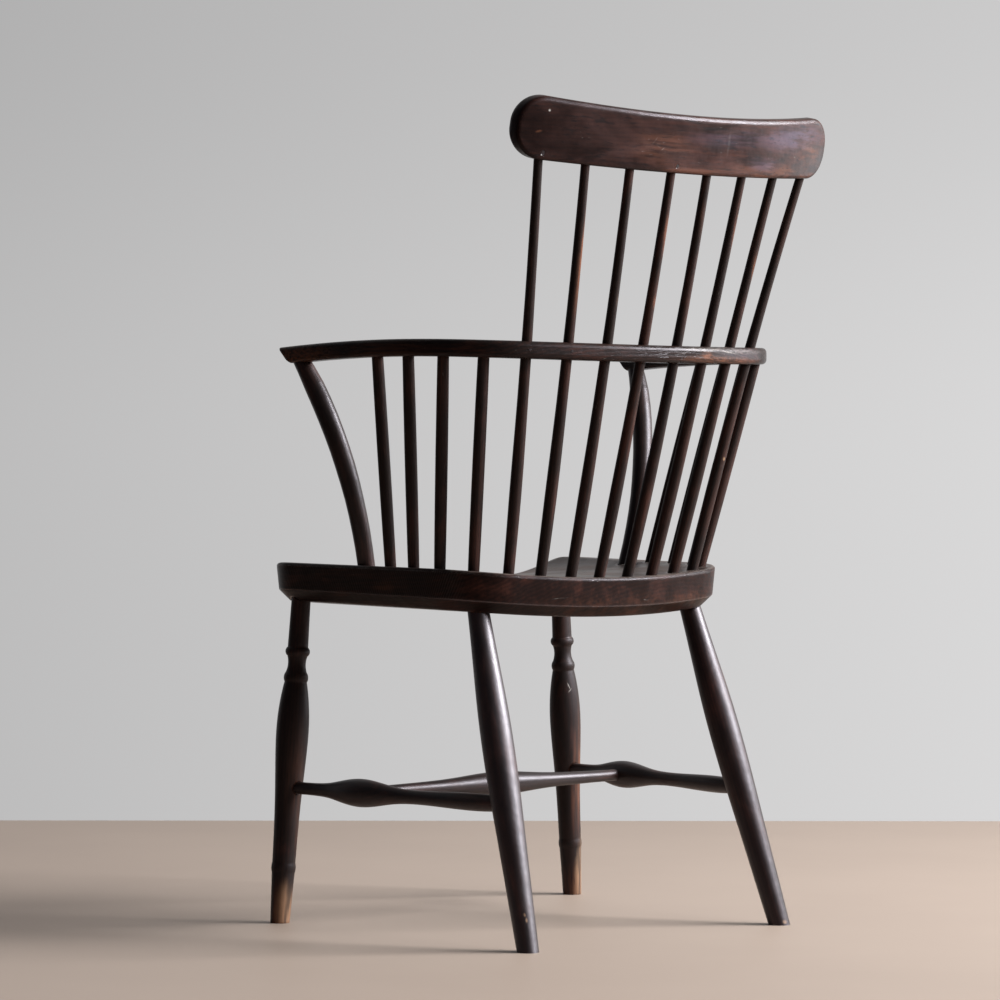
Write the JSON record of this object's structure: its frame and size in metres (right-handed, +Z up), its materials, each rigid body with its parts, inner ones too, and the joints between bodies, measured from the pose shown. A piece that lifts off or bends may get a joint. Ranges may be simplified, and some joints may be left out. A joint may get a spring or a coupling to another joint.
{
  "type": "comb back windsor chair",
  "caption": "Windsor armchair with a hollowed plank seat, a bent arm bow, round sticks that rise through it to a curved comb, turned legs and an H stretcher.",
  "frame": {"origin": "on the floor, under the middle of the box round the chair", "axes": "+Z up, the sitter faces -Y, +X is the sitter's left"},
  "size_m": [0.5854, 0.54, 0.9892],
  "materials": {
    "seat_plank": "dark stain, worn satin",
    "bent_rails": "dark stain, worn satin",
    "sticks": "dark stain, worn satin",
    "turned_legs": "dark stain, worn satin",
    "pegs": "dark stain, worn satin"
  },
  "bodies": {
    "root": {"seat": "seat_plank", "arm_bow": "bent_rails", "comb": "bent_rails", "long_stick_1": "sticks", "long_stick_2": "sticks", "long_stick_3": "sticks", "long_stick_4": "sticks", "long_stick_5": "sticks", "long_stick_6": "sticks", "long_stick_7": "sticks", "long_stick_8": "sticks", "short_stick_left_1": "sticks", "short_stick_left_2": "sticks", "short_stick_left_3": "sticks", "short_stick_left_4": "sticks", "short_stick_right_1": "sticks", "short_stick_right_2": "sticks", "short_stick_right_3": "sticks", "short_stick_right_4": "sticks", "arm_support_left": "sticks", "arm_support_right": "sticks", "front_leg_left": "turned_legs", "front_leg_right": "turned_legs", "rear_leg_left": "turned_legs", "rear_leg_right": "turned_legs", "side_stretcher_left": "turned_legs", "side_stretcher_right": "turned_legs", "cross_stretcher": "turned_legs", "comb_pegs": "pegs", "arm_pins": "pegs"}
  },
  "joints": []
}
